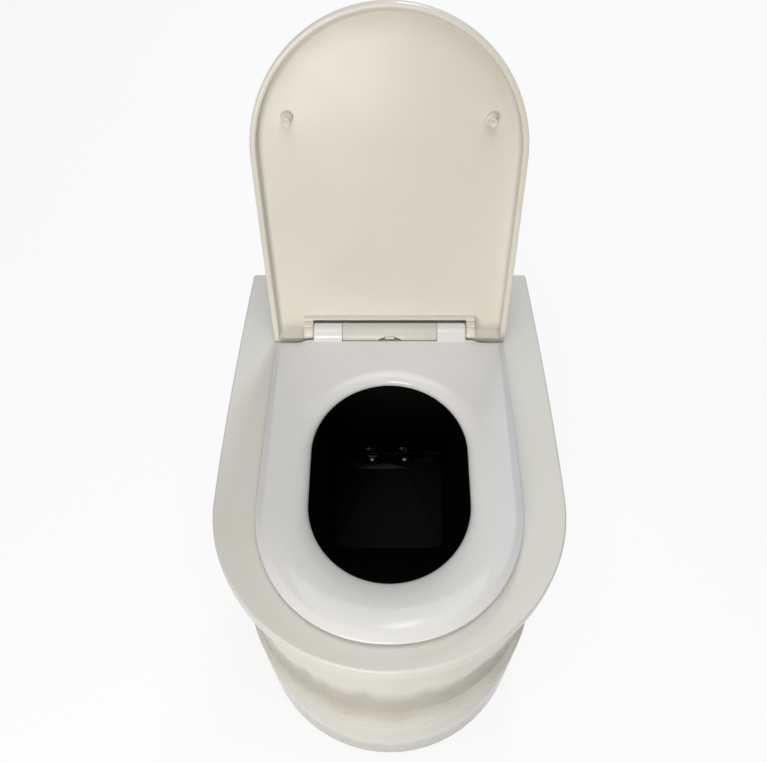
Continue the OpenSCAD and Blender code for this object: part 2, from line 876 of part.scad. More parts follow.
module wall_rivets() {
    color("#8f9396") on_back_wall() wall_rivet_places()
        translate([0, -leaf_t, 0]) rotate([90, 0, 0]) rivet(leaf_t + chute_t);
}

module flap_rivets() {
    color("#8f9396") at_flap_axis() flap_rivet_places()
        translate([0, 0, flap_h - flap_axis_z + leaf_t]) rivet(leaf_t + flap_t);
}

// The flap, with a boss that clamps the drive shaft
module flap_plate() {
    under = flap_h - flap_axis_z;
    color("#232323") at_flap_axis() difference() {
        union() {
            box([-flap_w / 2, -plate_gap - flap_len, under - flap_t],
                [flap_w / 2, -plate_gap, under]);
            rod_x(boss_r, lug_x0, lug_x1 - 9);
            box([lug_x0, -20, under - flap_t], [lug_x1 - 9, 0, under + 4]);
        }
        rod_x(shaft_r, lug_x0 - over, lug_x1 + over);
        flap_rivet_places() translate([0, 0, -20]) cylinder(r = rivet_r, h = 40);
    }
}

module flap_shaft() {
    color("#9da1a4") at_flap_axis() rod_x(shaft_r, lug_x0, shaft_end);
}

module shaft_bush() {
    x = chamber_w / 2;
    color("#b08a4a") at_flap_axis() difference() {
        union() {
            rod_x(bush_r, x, x + liner_t);
            rod_x(bush_r + 3, x - 2.5, x);
        }
        rod_x(shaft_r + run_gap, x - 5, x + liner_t + over);
    }
}

// Geared motor beside the jacket that turns the flap's shaft
module gear_motor() {
    x = jacket_half + 3;
    color("#3c3f42") at_flap_axis() difference() {
        union() {
            rod_x(25, x, x + 22);
            rod_x(17, x + 22, x + 52);
            rod_x(6, x + 52, x + 56);
        }
        rod_x(shaft_r + run_gap, x - over, shaft_end + 0.5);
    }
}

module motor_bracket() {
    color("#a6a9ab") at_flap_axis() difference() {
        union() {
            box([jacket_half, -34, -50], [jacket_half + 3, 34, top_plate - flap_axis_z]);
            rod_x(30, jacket_half, jacket_half + 3);
        }
        rod_x(shaft_r + 3, jacket_half - over, jacket_half + 4);
        for (y = [-27, 27])
            translate([0, y, -42]) rod_x(2.2, jacket_half - over, jacket_half + 4);
    }
}

// Burning chamber

module room(half, front, rear, low, high) {
    box([-half, front, low], [half, rear, high]);
}

module chamber_cuts(back) {
    at_flap_axis() rod_x(bush_r, 0, chamber_w / 2 + liner_t + over);
    heater_ends() rod_y(heater_r, liner_rear - over, back);
    translate([0, 0, flue_h]) rod_y(duct_r, liner_rear - over, back);
    translate([0, liner_front + 12, 250]) rod_x(3, -jacket_half - over, -50);
}

module heater_ends() {
    for (x = [-heater_x, heater_x], z = [heater_low, heater_low + 3 * heater_step])
        translate([x, 0, z]) children();
}

// Stainless liner, open at its foot over the pan and at its mouth
module chamber_liner() {
    half = chamber_w / 2;
    color("#a7a39c") difference() {
        room(half + liner_t, liner_front - liner_t, liner_rear + liner_t,
            chamber_foot, liner_top);
        room(half, liner_front, liner_rear, chamber_foot - over, liner_top - liner_t);
        room(mouth_half, mouth_front, mouth_rear, liner_top - 2 * liner_t, liner_top + over);
        chamber_cuts(liner_rear + liner_t + over);
    }
}

// Ceramic wool boards round the liner
module insulation() {
    half = chamber_w / 2 + liner_t;
    t = insulation_t;
    color("#e3dfd2") difference() {
        room(half + t, liner_front - liner_t - t, liner_rear + liner_t + t,
            chamber_foot + jacket_t, liner_top);
        room(half, liner_front - liner_t, liner_rear + liner_t,
            chamber_foot, liner_top + over);
        at_flap_axis() rod_x(shaft_r + 3, 0, jacket_half);
        chamber_cuts(liner_rear + jacket_out + over);
    }
}

module chamber_jacket() {
    half = jacket_half;
    front = liner_front - jacket_out;
    rear = liner_rear + jacket_out;
    color("#b8bbbd") difference() {
        room(half, front, rear, chamber_foot, top_plate);
        room(half - jacket_t, front + jacket_t, rear - jacket_t,
            chamber_foot + jacket_t, liner_top);
        room(chamber_w / 2 + liner_t, liner_front - liner_t, liner_rear + liner_t,
            chamber_foot - over, chamber_foot + 10);
        room(mouth_half, mouth_front, mouth_rear, liner_top - over, top_plate + over);
        at_flap_axis() rod_x(shaft_r + 3, 0, half + over);
        chamber_cuts(rear + over);
    }
}

// Two sheet stands on the base plate that carry the jacket and the rails
module chamber_stand() {
    front = rail_front;
    color("#7b7f82") both_sides() {
        box([stand_in, front, plate_top],
            [stand_in + stand_t, liner_rear + jacket_out, chamber_foot]);
        box([stand_in, front, plate_top], [stand_in + stand_t, rail_rear, 80]);
        box([pan_half + 2, front, chamber_foot - stand_t],
            [stand_in, liner_rear + jacket_out, chamber_foot]);
        box([stand_in, front, plate_top],
            [stand_in + 22, rail_rear, plate_top + stand_t]);
    }
}

// Two heater rods, each bent to and fro along a side wall
module heaters() {
    y0 = liner_front + 52;
    y1 = liner_rear - 32;
    bend = heater_step / 2;
    color("#5a4a42") for (x = [-heater_x, heater_x]) translate([x, 0, heater_low]) {
        for (i = [0:3]) translate([0, 0, i * heater_step])
            rod_y(heater_r, y0, i == 0 || i == 3 ? liner_rear + jacket_out + 12 : y1);
        for (i = [0:2]) translate([0, i == 1 ? y1 : y0, (i + 0.5) * heater_step])
            rotate([i == 1 ? 0 : 180, -90, 0])
                rotate_extrude(angle = 180) translate([bend, 0]) circle(r = heater_r);
    }
}

module thermocouple() {
    color("#8b8d8f") translate([0, liner_front + 12, 250]) {
        rod_x(3, -jacket_half, -chamber_w / 2 + 18);
        rod_x(8, -jacket_half - 12, -jacket_half);
    }
}

// Exhaust: duct, catalyst, fan and flue in one line to the back

duct_end = liner_rear + jacket_out + 23;
can_r = 48;
can_end = duct_end + 65;
fan_r = flue_r + 5;
fan_port = 40;
impeller_y = can_end + 15;
impeller_w = 22;
blade_pitch = 35;
motor_y = impeller_y + impeller_w + 9;
motor_shaft_r = 3;

module on_flue_line() {
    translate([0, 0, flue_h]) children();
}

module ring_y(r_out, r_in, y0, y1) {
    difference() {
        rod_y(r_out, y0, y1);
        rod_y(r_in, y0 - over, y1 + over);
    }
}

module exhaust_duct() {
    color("#94908a") on_flue_line() ring_y(duct_r, duct_r - 2, liner_rear, duct_end);
}

module catalyst_can() {
    color("#8d8680") on_flue_line() {
        ring_y(can_r, can_r - 2, duct_end, can_end);
        ring_y(can_r - 1, duct_r - 2, duct_end, duct_end + 2);
        ring_y(can_r - 1, fan_port, can_end - 2, can_end);
    }
}

// Ceramic block with gas passages
module catalyst_core() {
    step = 11;
    color("#c9bda2") on_flue_line() difference() {
        rod_y(can_r - 2, duct_end + 8, can_end - 8);
        for (i = [-3:3], k = [-3:3])
            if (norm([i, k]) < 3.3)
                box([i * step - 4, duct_end, k * step - 4],
                    [i * step + 4, can_end, k * step + 4]);
    }
}

module fan_housing() {
    color("#4b4e50") on_flue_line() {
        ring_y(fan_r, fan_r - 3, can_end, panel_in);
        ring_y(fan_r - 1, fan_port, can_end, can_end + 3);
    }
}

module impeller() {
    color("#2e3032") on_flue_line() difference() {
        union() {
            rod_y(16, impeller_y, impeller_y + impeller_w);
            for (i = [0:blades - 1])
                translate([0, impeller_y + impeller_w / 2, 0])
                    rotate([0, i * 360 / blades, 0]) rotate([blade_pitch, 0, 0])
                        box([13, -10, -1], [fan_r - 5, 10, 1]);
        }
        rod_y(motor_shaft_r + run_gap, impeller_y - over, motor_y);
    }
}

// Fan motor on three arms that reach the housing
module fan_motor() {
    color("#6d7073") on_flue_line() {
        rod_y(motor_shaft_r, impeller_y + 2, motor_y);
        rod_y(20, motor_y, motor_y + 26);
        intersection() {
            for (a = [90, 210, 330])
                rotate([0, a, 0]) box([15, motor_y + 8, -4], [fan_r, motor_y + 18, 4]);
            rod_y(fan_r - 3, motor_y, panel_in);
        }
    }
}

module flue_screw_places() {
    r = flue_r + 8.5;
    for (a = [45:90:315])
        translate([r * cos(a), 0, flue_h + r * sin(a)]) children();
}

// Flanged collar that takes the flue pipe
module flue_collar() {
    color("#b4b6b8") difference() {
        on_flue_line() union() {
            ring_y(flue_r + 16, flue_r - 2, panel_y, panel_y + panel_t);
            ring_y(flue_r, flue_r - 2, panel_y, total_len / 2);
        }
        flue_screw_places() rod_y(screw_r, panel_y - over, panel_y + panel_t + over);
    }
}

// Fittings of the rear panel

grille_x = 95;
grille_z = 120;
grille_w = 100;
grille_h = 60;
inlet_x = -125;
inlet_z = 150;
inlet_w = 34;
inlet_h = 28;
switch_z = 205;
switch_w = 20;
switch_h = 28;
rocker_tilt = 8;

module air_grille() {
    slots = 9;
    pitch = grille_w / slots;
    color("#3a3c3e") translate([grille_x, 0, grille_z]) difference() {
        box([-grille_w / 2 - 8, panel_y, -grille_h / 2 - 8],
            [grille_w / 2 + 8, panel_y + panel_t, grille_h / 2 + 8]);
        for (i = [0:slots - 1])
            translate([(i + 0.5) * pitch - grille_w / 2, 0, 0])
                box([-pitch / 4, panel_y - over, 4 - grille_h / 2],
                    [pitch / 4, panel_y + panel_t + over, grille_h / 2 - 4]);
    }
}

// Mains inlet with three flat pins in its well
module power_inlet() {
    depth = 24;
    back = panel_y + panel_t;
    color("#1f2021") translate([inlet_x, 0, inlet_z]) {
        difference() {
            union() {
                box([-inlet_w / 2, panel_in - depth, -inlet_h / 2],
                    [inlet_w / 2, back, inlet_h / 2]);
                box([-inlet_w / 2 - 5, panel_y, -inlet_h / 2 - 5],
                    [inlet_w / 2 + 5, back, inlet_h / 2 + 5]);
            }
            box([-inlet_w / 2 + 4, back - 20, -inlet_h / 2 + 4],
                [inlet_w / 2 - 4, back + over, inlet_h / 2 - 4]);
        }
        for (p = [[-7, -2], [0, 3], [7, -2]])
            translate([p[0], 0, p[1]]) box([-1, back - 20, -2.5], [1, back - 4, 2.5]);
    }
}

module at_switch() {
    translate([inlet_x, panel_y - 5, switch_z]) children();
}

module switch_bezel() {
    color("#1f2021") at_switch() difference() {
        union() {
            box([-switch_w / 2, -11, -switch_h / 2], [switch_w / 2, 7, switch_h / 2]);
            box([-switch_w / 2 - 4, 5, -switch_h / 2 - 4],
                [switch_w / 2 + 4, 7, switch_h / 2 + 4]);
        }
        box([2 - switch_w / 2, -7, 2 - switch_h / 2],
            [switch_w / 2 - 2, 7 + over, switch_h / 2 - 2]);
        rod_x(1.5 + run_gap, 1 - switch_w / 2, switch_w / 2 - 1);
    }
}

// Rocker that tilts about two stub pins in the bezel
module switch_rocker() {
    half = switch_w / 2 - 2 - slide_gap;
    reach = switch_h / 2 - 4;
    color("#7c1f1a") at_switch() rotate([-rocker_tilt, 0, 0]) {
        translate([-half, 0, 0]) rotate([90, 0, 90]) linear_extrude(2 * half)
            polygon([[2, -reach], [9, -reach], [6, 0], [9, reach], [2, reach], [-4, 0]]);
        rod_x(1.5, -half - 1, half + 1);
    }
}

box_x = 5 - panel_half;
box_w = 90;
box_z = 330;
box_h = 120;
box_d = 45;
box_t = 2.5;

// Box for the controls, open to the front
module control_box() {
    color("#8b8e90") translate([box_x, panel_in - box_d, box_z]) difference() {
        cube([box_w, box_d, box_h]);
        translate([box_t, -over, box_t])
            cube([box_w - 2 * box_t, box_d - box_t + over, box_h - 2 * box_t]);
    }
}

// Circuit board with relays, a transformer and a terminal block
module control_board() {
    face = panel_in - box_t - 12;
    translate([box_x + box_w / 2, 0, box_z + box_h / 2]) {
        color("#2f6b45") box([-38, face, -53], [38, face + 1.6, 53]);
        color("#2f6b45") for (x = [-33, 33], z = [-48, 48])
            translate([x, 0, z]) rod_y(3, face + 1.6, panel_in - box_t);
        color("#20303c") for (i = [0:2])
            box([-32 + i * 22, face - 15, 15], [-16 + i * 22, face, 43]);
        color("#8a7a3c") box([-32, face - 22, -42], [4, face, -10]);
        color("#2a6a3a") box([12, face - 11, -46], [34, face, -6]);
    }
}

// Start button on the right side, under the deck's overhang

start_y = shell_rear - upper_size[2];
start_z = deck_h - skirt_h - 33;
start_x = upper_size[1];
start_tube_r = 11;
cap_r = 9;
start_back = start_x - 20;

module start_bezel() {
    color("#b9bab6") translate([0, start_y, start_z]) difference() {
        union() {
            rod_x(start_tube_r, start_back, start_x + 3);
            rod_x(start_tube_r + 4, start_x, start_x + 3);
        }
        rod_x(cap_r + run_gap, start_back + 3, start_x + 4);
    }
}

module start_button() {
    color("#3f7d4c") translate([0, start_y, start_z])
        rod_x(cap_r, start_back + 7, start_x + 5);
}

deck_cover();
upper_shell();
base_shell();
base_plate();
feet();
rear_panel();
panel_screws();
drawer_front();
drawer_tray();
drawer_runners();
drawer_rails();
ash_pan();
pan_handle();
lid_shell();
lid_lugs();
lid_buffers();
seat_ring();
seat_buffers();
hinge_base();
hinge_cover();
release_button();
hinge_pins();
dampers();
hinge_bolts();
hinge_nuts();
bowl();
bowl_gasket();
fixed_leaf();
moving_leaf();
flap_pin();
wall_rivets();
flap_rivets();
flap_plate();
flap_shaft();
shaft_bush();
gear_motor();
motor_bracket();
chamber_liner();
insulation();
chamber_jacket();
chamber_stand();
heaters();
thermocouple();
exhaust_duct();
catalyst_can();
catalyst_core();
fan_housing();
impeller();
fan_motor();
flue_collar();
air_grille();
power_inlet();
switch_bezel();
switch_rocker();
control_box();
control_board();
start_bezel();
start_button();
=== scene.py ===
"""Incinerating toilet, photographed from in front and above with its lid open."""
import json
import math

import bmesh
import bpy
from mathutils import Matrix, Vector


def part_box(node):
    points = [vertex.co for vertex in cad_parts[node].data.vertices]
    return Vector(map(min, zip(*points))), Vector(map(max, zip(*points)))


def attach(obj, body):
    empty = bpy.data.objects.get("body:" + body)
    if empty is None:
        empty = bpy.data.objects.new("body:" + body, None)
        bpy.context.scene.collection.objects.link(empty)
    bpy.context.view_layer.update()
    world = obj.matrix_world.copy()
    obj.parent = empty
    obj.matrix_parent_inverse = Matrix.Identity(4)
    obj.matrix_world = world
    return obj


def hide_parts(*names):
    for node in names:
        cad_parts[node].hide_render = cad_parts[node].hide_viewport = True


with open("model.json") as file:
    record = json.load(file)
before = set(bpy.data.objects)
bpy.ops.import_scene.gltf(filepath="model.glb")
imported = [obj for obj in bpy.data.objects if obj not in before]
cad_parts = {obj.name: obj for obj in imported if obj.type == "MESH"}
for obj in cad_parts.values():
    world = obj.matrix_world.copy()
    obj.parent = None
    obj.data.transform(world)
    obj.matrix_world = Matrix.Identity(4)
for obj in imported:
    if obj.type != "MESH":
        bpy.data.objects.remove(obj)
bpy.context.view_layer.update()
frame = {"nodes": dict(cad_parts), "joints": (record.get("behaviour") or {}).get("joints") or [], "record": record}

# Chassis: base plate, rear panel, drawer tray, runners, rails, jacket, stands,
# motor bracket, control box and flue collar. Galvanised sheet steel, cut, folded
# and riveted, so it is grey with a soft spangle from the zinc bath.


def linear(code):
    """Linear RGBA of an sRGB hex colour."""
    parts = [int(code[i:i + 2], 16) / 255 for i in (1, 3, 5)]
    return [c / 12.92 if c <= 0.04045 else ((c + 0.055) / 1.055) ** 2.4
            for c in parts] + [1.0]


def add(tree, kind, **settings):
    """Adds a node. A setting is a property, an input's value or a node to link.
    A tuple fills the inputs that share a name."""
    node = tree.nodes.new(kind)
    for name, value in settings.items():
        if hasattr(node, name):
            setattr(node, name, value)
            continue
        slots = [s for s in node.inputs if s.name == name.replace("_", " ") and s.enabled]
        if not slots:
            raise KeyError(name)
        for slot, item in zip(slots, value if isinstance(value, tuple) else (value,)):
            if isinstance(item, bpy.types.Node):
                item = next(s for s in item.outputs if s.enabled)
            if isinstance(item, bpy.types.NodeSocket):
                tree.links.new(item, slot)
            else:
                slot.default_value = item
    return node


def bare(name):
    """A new material, its empty node tree and its own coordinates in metres."""
    material = bpy.data.materials.new(name)
    material.use_nodes = True
    tree = material.node_tree
    tree.nodes.clear()
    return material, tree, add(tree, "ShaderNodeTexCoord").outputs["Object"]


def metal(name, code, dark_code, rough, grain_mm, stretch=(1, 1, 1), stain_mm=70):
    """Metal with a grain and stains of a real size. Its grain can be drawn out."""
    material, tree, place = bare(name)
    drawn = add(tree, "ShaderNodeMapping", Vector=place, Scale=list(stretch))
    grain = add(tree, "ShaderNodeTexNoise", Vector=drawn, Scale=1000 / grain_mm, Detail=6.0)
    stain = add(tree, "ShaderNodeTexNoise", Vector=place, Scale=1000 / stain_mm, Detail=4.0)
    both = add(tree, "ShaderNodeMix", data_type="FLOAT", Factor=0.5, A=grain, B=stain)
    spread = add(tree, "ShaderNodeMapRange", Value=both, From_Min=0.35, From_Max=0.65)
    tone = add(tree, "ShaderNodeMix", data_type="RGBA", Factor=spread, A=linear(dark_code),
               B=linear(code))
    polish = add(tree, "ShaderNodeMapRange", Value=grain, To_Min=rough - 0.08,
                 To_Max=rough + 0.15)
    relief = add(tree, "ShaderNodeBump", Height=grain, Strength=0.3, Distance=0.0002)
    surface = add(tree, "ShaderNodeBsdfPrincipled", Base_Color=tone, Metallic=1.0,
                  Roughness=polish, Normal=relief)
    add(tree, "ShaderNodeOutputMaterial", Surface=surface)
    return material


def finish(slot, material):
    """Dresses a slot's CAD nodes: one material, broken edges and smooth curves."""
    reshaped = {"deck_cover", "seat_ring", "lid_shell", "lid_buffers", "hinge_cover"}
    for part in frame["record"]["subparts"]:
        if part["material_slot"] != slot or part["node"] in reshaped:
            continue
        node = frame["nodes"][part["node"]]
        node.data.materials.clear()
        node.data.materials.append(material)
        for face in node.data.polygons:
            face.use_smooth = True
            face.material_index = 0
        weld = node.modifiers.new("weld", "WELD")
        weld.merge_threshold = 0.00001
        broken = node.modifiers.new("broken_edges", "BEVEL")
        broken.width = 0.0005
        broken.segments = 2
        broken.limit_method = "ANGLE"
        broken.angle_limit = math.radians(38)
        broken.harden_normals = True
        crease = node.modifiers.new("creases", "EDGE_SPLIT")
        crease.split_angle = math.radians(36)


finish("sheet_steel", metal("galvanised_sheet", "#b9bcbe", "#8f9396", 0.38, 16))

# Fixings: screws, bolts, pins and rivets of zinc plated steel, turned, so their
# grain runs round them. They hold the rear panel, the hinge and the flap's leaves.
finish("fixing_steel", metal("zinc_plated_steel", "#c7c9ca", "#8d9092", 0.28, 3.3, (1, 6, 1)))

# Hot parts: chamber liner, heaters, thermocouple, exhaust duct, catalyst can and
# ash pan, of drawn stainless steel. The heat has run it straw and brown.
finish("heat_steel", metal("heat_tinted_stainless", "#8e867a", "#4f463d", 0.42, 8, (1, 1, 9)))

# Bush of the flap's shaft: sintered bronze, porous and dull, pressed into the
# wall of the jacket. It runs without oil.
finish("brass_bush", metal("sintered_bronze", "#b8924e", "#7d5f2c", 0.45, 2.5))

# Insulation: boards of felted ceramic wool between liner and jacket, chalky and
# uneven. The fibres lie along the board.
wool, tree, place = bare("ceramic_wool_felted")
along = add(tree, "ShaderNodeMapping", Vector=place, Scale=[1, 0.15, 1])
fibre_mm = 4
fibre = add(tree, "ShaderNodeTexNoise", Vector=along, Scale=1000 / fibre_mm, Detail=9.0)
spread = add(tree, "ShaderNodeMapRange", Value=fibre, From_Min=0.3, From_Max=0.7)
tone = add(tree, "ShaderNodeMix", data_type="RGBA", Factor=spread, A=linear("#c9c3b2"),
           B=linear("#f1ede1"))
felt = add(tree, "ShaderNodeBump", Height=fibre, Strength=0.8, Distance=0.001)
surface = add(tree, "ShaderNodeBsdfPrincipled", Base_Color=tone, Roughness=0.95, Normal=felt)
add(tree, "ShaderNodeOutputMaterial", Surface=surface)
finish("ceramic_wool", wool)

# Core of the catalyst: one extruded and fired block of cordierite, matt, with
# the drag lines of the die. It is packed into its can.


def moulded(name, code, dark_code, rough, wave_mm=14, wave_depth_mm=0.03, shine=0.3):
    """A moulding: tone that drifts, gloss rubbed in places, slow waves."""
    material, tree, place = bare(name)
    cloud_mm, rub_mm = 110, 30
    cloud = add(tree, "ShaderNodeTexNoise", Vector=place, Scale=1000 / cloud_mm, Detail=5.0)
    spread = add(tree, "ShaderNodeMapRange", Value=cloud, From_Min=0.3, From_Max=0.7)
    tone = add(tree, "ShaderNodeMix", data_type="RGBA", Factor=spread, A=linear(dark_code),
               B=linear(code))
    rub = add(tree, "ShaderNodeTexNoise", Vector=place, Scale=1000 / rub_mm, Detail=2.0)
    gloss = add(tree, "ShaderNodeMapRange", Value=rub, From_Min=0.3, From_Max=0.7,
                To_Min=rough, To_Max=rough + 0.05)
    wave = add(tree, "ShaderNodeTexNoise", Vector=place, Scale=1000 / wave_mm, Detail=1.0)
    relief = add(tree, "ShaderNodeBump", Height=wave, Strength=0.3,
                 Distance=wave_depth_mm / 1000)
    surface = add(tree, "ShaderNodeBsdfPrincipled", Base_Color=tone, Roughness=gloss,
                  Normal=relief, IOR=1.49, Specular_IOR_Level=shine)
    add(tree, "ShaderNodeOutputMaterial", Surface=surface)
    return material


finish("ceramic_block", moulded("cordierite_fired", "#cfc4a8", "#b8ab8c", 0.85, 1, 0.2))

# Machine plastics: fan, motors, dampers, inlet, switch bezel, grille and pan
# handle, moulded in black glass filled nylon with a satin grain, pushed or
# screwed in place.
finish("dark_plastic", moulded("black_nylon_moulded", "#26272a", "#1c1d1f", 0.5, 1.2, 0.1))

# Controls: the red rocker of the mains switch and the green start button, small
# glossy polycarbonate mouldings that snap into their bezels.
finish("red_plastic", moulded("red_polycarbonate", "#8a1f18", "#741710", 0.25))
finish("green_plastic", moulded("green_polycarbonate", "#3f8a50", "#357746", 0.25))

# Circuit board: glass cloth laminate under a coat of green solder mask. The
# weave is 0.7 mm and just shows in its tone.
laminate, tree, place = bare("glass_laminate_coated")
weave_mm = 0.7
weave = add(tree, "ShaderNodeTexNoise", Vector=place, Scale=1000 / weave_mm)
tone = add(tree, "ShaderNodeMix", data_type="RGBA", Factor=weave, A=linear("#1c5334"),
           B=linear("#246541"))
surface = add(tree, "ShaderNodeBsdfPrincipled", Base_Color=tone, Roughness=0.35)
add(tree, "ShaderNodeOutputMaterial", Surface=surface)
finish("board_green", laminate)

# Feet and gasket: moulded black rubber, matt, with dust in its pores. The feet
# are screwed under the base plate and the gasket lies under the chute's flange.
rubber, tree, place = bare("black_rubber_moulded")
dust_mm = 16
dust = add(tree, "ShaderNodeTexNoise", Vector=place, Scale=1000 / dust_mm, Detail=8.0)
tone = add(tree, "ShaderNodeMix", data_type="RGBA", Factor=dust, A=linear("#161616"),
           B=linear("#33322f"))
pores = add(tree, "ShaderNodeBump", Height=dust, Strength=0.5, Distance=0.0003)
surface = add(tree, "ShaderNodeBsdfPrincipled", Base_Color=tone, Roughness=0.8, Normal=pores)
add(tree, "ShaderNodeOutputMaterial", Surface=surface)
finish("black_rubber", rubber)

# Chute and flap: deep drawn steel under matt black enamel, clouded by soot, so
# the opening reads almost black. The chute's flange lies on the deck.
enamel, tree, place = bare("black_enamel_fired")
soot_mm, grit_mm = 45, 1.5
soot = add(tree, "ShaderNodeTexNoise", Vector=place, Scale=1000 / soot_mm, Detail=7.0)
tone = add(tree, "ShaderNodeMix", data_type="RGBA", Factor=soot, A=linear("#020202"),
           B=linear("#070708"))
grit = add(tree, "ShaderNodeTexNoise", Vector=place, Scale=1000 / grit_mm)
relief = add(tree, "ShaderNodeBump", Height=grit, Strength=0.3, Distance=0.0001)
surface = add(tree, "ShaderNodeBsdfPrincipled", Base_Color=tone, Roughness=0.6, Normal=relief,
              Specular_IOR_Level=0.06)
add(tree, "ShaderNodeOutputMaterial", Surface=surface)
finish("chute_black", enamel)

# Flap hinge and shaft: blackened steel strip and bar.
finish("black_steel", metal("blackened_steel", "#202021", "#0d0d0e", 0.3, 5, (1, 8, 1)))

# Shells and drawer front: white ABS, injection moulded with a hard gloss. The
# shells are screwed to the base plate from inside, and the front to its tray.
body_white = moulded("body_abs_gloss", "#dcdbd4", "#dad8d0", 0.16, shine=0.18)
finish("shell_white", body_white)

# Hinge fittings on the deck, and the start button's bezel: off white glass filled
# nylon, satin. The hinge base is bolted through the deck with plastic nuts.
finish("hinge_plastic", moulded("hinge_nylon_satin", "#dcdacf", "#d3d0c3", 0.4, 2, 0.08))

# Pads under the seat: pale moulded thermoplastic rubber, satin. Pushed into the
# seat, they keep it off the deck.
finish("soft_rubber", moulded("pale_elastomer_moulded", "#d9d6cb", "#cfcbbe", 0.5, 2))

# Deck cover: one ABS moulding with a rounded edge and a skirt that hangs over
# the upper shell. The chute's flange lies round its opening, under the seat.


def half_outline(size, inset, steps):
    """Right half of an outline: rear edge, widening side and round front. Its size
    is half the rear's width, half the full width, how far ahead of the rear that
    lies, the length, the front's roundness and the radius of the rear corner."""
    rear, wide, at, length, n, corner = size
    rear, wide, at, length = rear - inset, wide - inset, at - inset, length - 2 * inset
    least_corner, swell = 0.002, 1.6
    corner = max(corner - inset, least_corner)
    points = []

    def side(s):
        return rear + (wide - rear) * (1 - max(0.0, 1 - s / at) ** swell)

    for i in range(steps + 1):
        s = corner * (1 - math.cos(math.radians(90 * i / steps)))
        cut = corner - math.sqrt(max(0.0, corner ** 2 - (corner - s) ** 2))
        points.append((side(s) - cut, -s - inset))
    for i in range(1, 2 * steps + 1):
        s = corner + (at - corner) * i / (2 * steps)
        points.append((side(s), -s - inset))
    for i in range(1, 4 * steps + 1):
        a = math.radians(90 * i / (4 * steps))
        points.append((wide * max(math.cos(a), 0.0) ** (2 / n),
                       -at - inset - (length - at) * math.sin(a) ** (2 / n)))
    return points


def outline(size, inset=0.0, steps=10, across=12):
    """Closed outline: right side, round front, left side and rear edge."""
    half = half_outline(size, inset, steps)
    left = [(-x, y) for x, y in reversed(half[:-1])]
    edge = half[0][0]
    rear = [(edge * (2 * i / across - 1), -inset) for i in range(1, across)]
    return half[:-1] + [(0.0, half[-1][1])] + left + rear


def loft(bm, rings):
    """Extrudes a ring of points from ring to ring. Returns the first and last loops."""
    verts = [bm.verts.new(p) for p in rings[0]]
    first = loop = [bm.edges.new(pair) for pair in zip(verts, verts[1:] + verts[:1])]
    for ring in rings[1:]:
        made = set(bmesh.ops.extrude_edge_only(bm, edges=loop)["geom"])
        verts = [next(e.other_vert(v) for e in v.link_edges if e.other_vert(v) in made)
                 for v in verts]
        for v, p in zip(verts, ring):
            v.co = p
        loop = [bm.edges.get(pair) for pair in zip(verts, verts[1:] + verts[:1])]
    return first, loop


def piece(name, bm, material, body, slot, *replaced, sharp=40):
    """Makes the piece, shades it smooth up to an angle and lets it ride."""
    bmesh.ops.recalc_face_normals(bm, faces=bm.faces)
    mesh = bpy.data.meshes.new(name)
    bm.to_mesh(mesh)
    bm.free()
    for face in mesh.polygons:
        face.use_smooth = True
    mesh.set_sharp_from_angle(angle=math.radians(sharp))
    made = bpy.data.objects.new(name, mesh)
    bpy.context.scene.collection.objects.link(made)
    made.data.materials.append(material)
    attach(made, body)
    if replaced:
        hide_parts(*replaced)
    return made


def quarter(r, steps):
    """Steps round a quarter circle of radius r: (distance in, distance up)."""
    turns = [math.radians(90 * k / steps) for k in range(1, steps + 1)]
    return [(r * (1 - math.cos(a)), r * math.sin(a)) for a in turns]


deck_low, deck_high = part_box("deck_cover")
deck_size = (0.223, 0.2415, 0.411, deck_high.y - deck_low.y, 2.0, 0.004)
deck_wall, deck_edge = 0.004, 0.0035
chute_size = (0.100, 0.119, 0.170, 0.340, 2.3, 0.040)
chute_lip = 0.0033
chute_flange = 0.012
chute_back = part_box("bowl")[1].y - chute_flange
skirt_in, skirt_up, skirt_out = 0.0008, 0.0012, 0.001

# Round the skirt and over the edge: distance in from the outline, and height. A
# last ring just past the edge keeps the flat top's shading off the curve.
deck_hold = 0.0012
profile = [(deck_wall, deck_high.z - deck_wall), (deck_wall, deck_low.z + skirt_up),
           (deck_wall - skirt_in, deck_low.z), (skirt_out, deck_low.z),
           (0.0, deck_low.z + skirt_out), (0.0, deck_high.z - deck_edge)]
profile += [(d, deck_high.z - deck_edge + up) for d, up in quarter(deck_edge, 9)]
profile.append((deck_edge + deck_hold, deck_high.z))
bm = bmesh.new()
inside, top = loft(bm, [[(x, y + deck_high.y, z) for x, y in outline(deck_size, d)]
                        for d, z in profile])
chute_out = outline(chute_size, -chute_lip)
hole_top, hole_under = loft(bm, [[(x, y + chute_back, z) for x, y in chute_out]
                                 for z in (deck_high.z, deck_high.z - deck_wall)])
for loops in (top + hole_top, inside + hole_under):
    bmesh.ops.triangle_fill(bm, edges=loops, use_beauty=True)
piece("deck_moulding", bm, body_white, "cabinet", "shell_white", "deck_cover", sharp=30)

